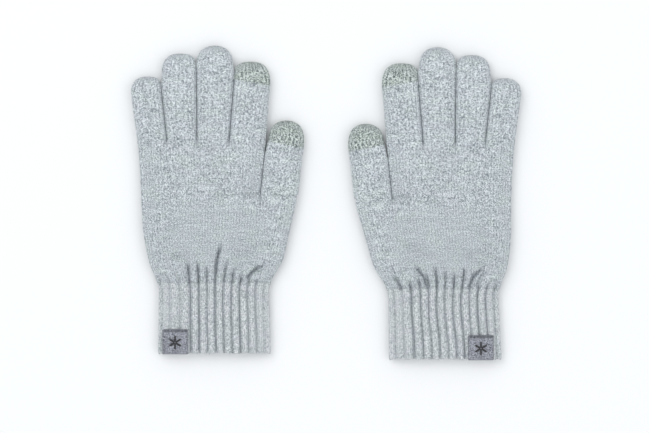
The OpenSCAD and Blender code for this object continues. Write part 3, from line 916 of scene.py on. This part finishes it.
class Nodes:
    """A short way to write a node tree."""

    def __init__(self, name):
        self.material = bpy.data.materials.new(name)
        self.material.use_nodes = True
        self.tree = self.material.node_tree
        self.shader = self.tree.nodes["Principled BSDF"]

    def add(self, kind, **settings):
        """A new node with its settings."""
        node = self.tree.nodes.new(kind)
        for key, value in settings.items():
            setattr(node, key, value)
        return node

    def link(self, a, b):
        self.tree.links.new(a, b)

    def stitch(self):
        """The stitch numbers kept on the mesh: wale, course and face."""
        return self.add("ShaderNodeAttribute", attribute_name="stitch").outputs["Vector"]

    def apart(self, vector):
        """A vector's x, y and z."""
        parts = self.add("ShaderNodeSeparateXYZ")
        self.link(vector, parts.inputs[0])
        return parts.outputs

    def ramp(self, value, low, high, start=0.0, end=1.0):
        """A colour that goes from low to high as the value goes from start to end."""
        ramp = self.add("ShaderNodeValToRGB")
        first, last = ramp.color_ramp.elements
        first.position, last.position = start, end
        first.color, last.color = low, high
        self.link(value, ramp.inputs[0])
        return ramp.outputs[0]

    def maths(self, operation, a, b=None, clamp=False):
        """One arithmetic node; a and b are numbers or other nodes' outputs."""
        node = self.add("ShaderNodeMath", operation=operation, use_clamp=clamp)
        for i, v in enumerate((a, b)):
            if v is None:
                continue
            if isinstance(v, (int, float)):
                node.inputs[i].default_value = v
            else:
                self.link(v, node.inputs[i])
        return node.outputs[0]

    def noise(self, place, scale, detail=2.0, rough=0.5, shift=(0, 0, 0)):
        """Noise with the place stretched by scale, an amount for each direction."""
        vector = self.stretch(place, scale, shift)
        node = self.add("ShaderNodeTexNoise")
        node.inputs["Scale"].default_value = 1.0
        node.inputs["Detail"].default_value = detail
        node.inputs["Roughness"].default_value = rough
        self.link(vector, node.inputs["Vector"])
        return node.outputs["Fac"]

    def multiply(self, a, b):
        node = self.add("ShaderNodeMix", data_type="RGBA", blend_type="MULTIPLY")
        node.inputs["Factor"].default_value = 1.0
        self.link(a, node.inputs[6])
        self.link(b, node.inputs[7])
        return node.outputs[2]

    def shade(self, darkest):
        """White, and down to the darkest grey as the mesh's stored darkness rises: painted shade in
        furrows, creases and rounded edges, and the darker join and label band.
        """
        hollow = self.add("ShaderNodeAttribute", attribute_name="hollow").outputs["Fac"]
        return self.ramp(hollow, (1, 1, 1, 1), (darkest, darkest * 1.03, darkest * 1.06, 1))

    def bump(self, height, depth, strength):
        """Bumps the shader by a height, depth in mm."""
        node = self.add("ShaderNodeBump")
        node.inputs["Strength"].default_value = strength
        node.inputs["Distance"].default_value = depth * MM
        self.link(height, node.inputs["Height"])
        self.link(node.outputs[0], self.shader.inputs["Normal"])

    def stretch(self, vector, scale, shift=(0, 0, 0)):
        node = self.add("ShaderNodeMapping")
        node.inputs["Scale"].default_value = scale
        node.inputs["Location"].default_value = shift
        self.link(vector, node.inputs["Vector"])
        return node.outputs[0]


def knit_material(name, light, dark, relief_shading, specks, streaks, shade, rough=0.92):
    """Heathered yarn in knit stitches, from the stitch numbers kept on the mesh.

    relief_shading is how strongly painted light and shade set the raised legs apart
    from the holes between them, specks how much one leg's heather differs from the next,
    streaks how much the heather drifts along a course, and shade how dark the painted
    shade in the deepest furrow is.
    """
    n = Nodes(name)
    place = n.stitch()
    parts = n.apart(place)
    # the stitches' raised middles, with a hole between each and the next
    waves = []
    for axis, seed in ((0, 3.7), (1, 11.3)):
        loose = n.noise(place, (0.9, 0.8, 1.0), 1.0, shift=(seed, seed, 0))
        at = n.maths("ADD", parts[axis], n.maths("MULTIPLY", loose, 1.1))
        waves.append(n.maths("COSINE", n.maths("MULTIPLY", at, 2 * math.pi)))
    raised = n.maths("ADD", waves[0], waves[1])
    speck = n.noise(place, (3.3, 2.3, 1.0), 0.0)       # about a stitch's leg in size
    streak = n.noise(place, (0.12, 0.8, 1.0), 3.0, 0.6)
    fibre = n.noise(place, (6.0, 5.0, 2.0), 2.0, 0.7)
    # painted light on the stitches' raised middles and painted shade in the holes between them
    tone = n.maths("MULTIPLY", raised, relief_shading)
    for value, amount in ((speck, specks), (streak, streaks), (fibre, 0.5)):
        part = n.maths("MULTIPLY", n.maths("SUBTRACT", value, 0.5), amount)
        tone = n.maths("ADD", tone, part)
    tone = n.maths("ADD", tone, 0.5, clamp=True)
    # the heather drifts between a bluish and a greenish grey, and furrows and creases get painted shade
    hue = n.noise(place, (0.16, 0.2, 0.5), 2.0)
    tint = n.ramp(hue, (0.98, 0.975, 1.0, 1), (0.985, 0.998, 0.99, 1), 0.35, 0.65)
    coloured = n.multiply(n.ramp(tone, dark, light), tint)
    n.link(n.multiply(coloured, n.shade(shade)), n.shader.inputs["Base Color"])
    n.bump(n.maths("ADD", raised, n.maths("MULTIPLY", fibre, 0.8)), 0.2, 0.8)
    n.shader.inputs["Roughness"].default_value = rough
    n.shader.inputs["Specular IOR Level"].default_value = 0.2
    n.shader.inputs["Sheen Weight"].default_value = 0.2
    n.shader.inputs["Sheen Roughness"].default_value = 0.5
    return n.material


def label_material():
    """Dark grey woven patch: a fine twill with worn, lighter threads."""
    n = Nodes("woven_patch")
    place = n.stitch()
    x, y, _ = n.apart(place)
    slant = n.maths("ADD", n.maths("MULTIPLY", x, 6.0), n.maths("MULTIPLY", y, 6.0))
    twill = n.maths("SINE", slant)
    weft = n.maths("SINE", n.maths("MULTIPLY", y, 11.0))
    weave = n.maths("ADD", n.maths("MULTIPLY", twill, 0.5), n.maths("MULTIPLY", weft, 0.5))
    fine = n.noise(place, (2.0, 2.0, 1.0), 0.0)
    worn = n.noise(place, (0.12, 0.2, 0.2), 2.0)
    tone = n.maths("ADD", n.maths("MULTIPLY", weave, 0.16), n.maths("MULTIPLY", fine, 2.4))
    tone = n.maths("ADD", tone, n.maths("MULTIPLY", worn, 0.5))
    tone = n.maths("SUBTRACT", tone, 1.0, clamp=True)
    colour = n.ramp(tone, srgb(62, 62, 71), srgb(186, 190, 200))
    n.link(n.multiply(colour, n.shade(0.45)), n.shader.inputs["Base Color"])
    n.bump(n.maths("ADD", weave, n.maths("MULTIPLY", fine, 1.5)), 0.10, 0.7)
    n.shader.inputs["Roughness"].default_value = 0.7
    n.shader.inputs["Sheen Weight"].default_value = 0.15
    return n.material


def thread_material(name, light, dark):
    """Twisted thread."""
    n = Nodes(name)
    fibre = n.noise(n.stitch(), (5.0, 2.0, 6.0), 3.0, 0.7)
    n.link(n.ramp(fibre, dark, light), n.shader.inputs["Base Color"])
    n.bump(fibre, 0.12, 0.8)
    n.shader.inputs["Roughness"].default_value = 0.75
    n.shader.inputs["Sheen Weight"].default_value = 0.2
    return n.material


MATERIALS = {
    "knit": knit_material("knit_heather", srgb(240, 247, 249), srgb(126, 135, 141), 0.09, 2.0, 0.5, 0.5),
    "rib": knit_material("rib_heather", srgb(252, 255, 255), srgb(146, 156, 161), 0.09, 2.1, 0.3, 0.62),
    "touch": knit_material("conductive_yarn", srgb(226, 235, 230), srgb(92, 104, 102), 0.18, 3.2, 0.12,
                           0.6, 0.7),
    "label": label_material(),
    "thread": thread_material("label_thread", srgb(70, 70, 74), srgb(22, 22, 25)),
    "yarn": thread_material("join_yarn", srgb(214, 219, 221), srgb(120, 130, 136)),
}


# ---- stage
def build_floor():
    """A pale sheet just under the gloves, wide enough to fill every view."""
    size, level = 6.0, -0.0003
    corners = [(-size, -size, level), (size, -size, level), (size, size, level), (-size, size, level)]
    mesh = bpy.data.meshes.new("floor")
    mesh.from_pydata(corners, [], [(0, 1, 2, 3)])
    floor = bpy.data.objects.new("floor", mesh)
    bpy.context.scene.collection.objects.link(floor)
    paper = Nodes("floor_paper")
    paper.shader.inputs["Base Color"].default_value = (0.90, 0.905, 0.91, 1)
    paper.shader.inputs["Roughness"].default_value = 0.9
    paper.shader.inputs["Specular IOR Level"].default_value = 0.1
    mesh.materials.append(paper.material)


def build_light(name, place, size, power):
    """A soft square lamp that faces the middle of the pair."""
    light = bpy.data.lights.new(name, "AREA")
    light.shape, light.size, light.energy = "SQUARE", size, power
    lamp = bpy.data.objects.new(name, light)
    lamp.location = place
    lamp.rotation_euler = (-Vector(place)).to_track_quat("-Z", "Y").to_euler()
    bpy.context.scene.collection.objects.link(lamp)


def build_world():
    """Even, slightly cool studio light from all sides."""
    world = bpy.data.worlds.new("studio")
    world.use_nodes = True
    background = world.node_tree.nodes["Background"]
    background.inputs["Color"].default_value = (0.96, 0.98, 1.0, 1)
    background.inputs["Strength"].default_value = 0.86
    bpy.context.scene.world = world
    bpy.context.scene.view_settings.view_transform = "Standard"


def build_camera():
    """Straight above the pair, through a long lens."""
    focal, sensor = 300.0, 36.0
    view_width, fabric_height = 0.480, 0.008     # metres across the view, at this height
    aside, nearer = -0.0012, -0.0098             # the view's middle from the pair's, metres
    data = bpy.data.cameras.new("camera")
    data.lens, data.sensor_width = focal, sensor
    data.clip_end = 50
    camera = bpy.data.objects.new("camera", data)
    low, high = CAD_BOX
    middle = [(a + b) / 2 for a, b in zip(low, high)]
    camera.location = (middle[0] + aside, middle[1] + nearer,
                       view_width * focal / sensor + fabric_height)
    bpy.context.scene.collection.objects.link(camera)
    bpy.context.scene.camera = camera


build_camera()
build_floor()
build_world()
build_light("key", (-0.9, 0.9, 1.9), 1.6, 13)
build_light("fill", (1.2, -0.4, 1.8), 1.6, 6)
for glove in (Glove("left", 1), Glove("right", -1)):
    make_palm(glove)
    make_hem(glove, make_cuff(glove))
    cuts = (*FINGER_CUTS, PALM_WALES)
    for digit, first, last in zip(("little", "ring", "middle", "index", "thumb"), cuts, cuts[1:]):
        make_digit(glove, digit, first, last)
    make_label(glove)
    make_label_trim(glove)
    make_join_stitches(glove)
